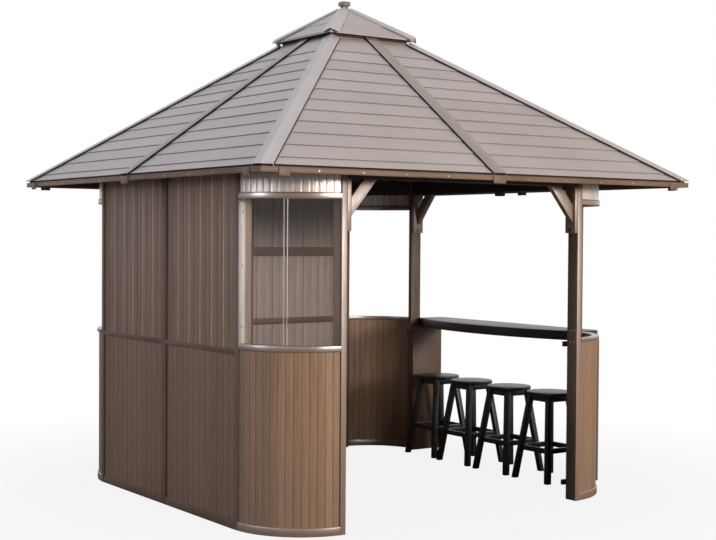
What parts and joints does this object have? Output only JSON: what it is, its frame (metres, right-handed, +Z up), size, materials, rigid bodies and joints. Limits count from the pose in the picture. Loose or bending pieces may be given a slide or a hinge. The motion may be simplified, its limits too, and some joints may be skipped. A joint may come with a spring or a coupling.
{
  "type": "hot tub gazebo",
  "caption": "Square timber and composite gazebo with rounded corners, an open entrance, a bar with stools, a curved corner window and a two-tier hip roof.",
  "frame": {"origin": "on the ground under the middle of the roof", "axes": "+Z up, -Y the open entrance, +X the bar, -X and +Y the closed walls"},
  "size_m": [3.312, 3.312, 3.3402],
  "materials": {
    "post_wood": "dark brown stain, satin",
    "wall_boards": "taupe brown, fine grain, satin",
    "rails": "brown, satin",
    "roof_boards": "greyish taupe, satin",
    "roof_caps": "brown taupe, satin",
    "glass": "clear, glossy",
    "dark_wood": "black lacquer, satin"
  },
  "bodies": {
    "root": {"corner_posts": "post_wood", "header_beams": "post_wood", "corner_beams": "post_wood", "knee_braces": "post_wood", "back_right_half_wall": "wall_boards", "back_left_half_wall": "wall_boards", "front_left_half_wall": "wall_boards", "front_right_half_wall": "wall_boards", "back_right_valance": "wall_boards", "back_left_valance": "wall_boards", "front_left_valance": "wall_boards", "front_right_valance": "wall_boards", "corner_base_rails": "rails", "corner_cap_rails": "rails", "valance_rails": "rails", "window_sill": "rails", "window_panes": "glass", "window_strips": "rails", "left_wall_boards": "wall_boards", "back_wall_boards": "wall_boards", "left_wall_frame": "rails", "back_wall_frame": "rails", "roof_front": "roof_boards", "roof_right": "roof_boards", "roof_back": "roof_boards", "roof_left": "roof_boards", "rafters": "post_wood", "rafter_collar": "post_wood", "hip_caps": "roof_caps", "rib_caps": "roof_caps", "eave_end_plates": "roof_caps", "eave_fascia": "roof_caps", "upper_tier_roof": "roof_boards", "upper_tier_caps": "roof_caps", "finial": "roof_caps", "bar_counter": "dark_wood", "bar_end_panels": "wall_boards", "bar_panel_blocks": "dark_wood", "header_knob": "dark_wood", "bar_stool_1": "dark_wood", "bar_stool_2": "dark_wood", "bar_stool_3": "dark_wood", "bar_stool_4": "dark_wood"}
  },
  "joints": []
}
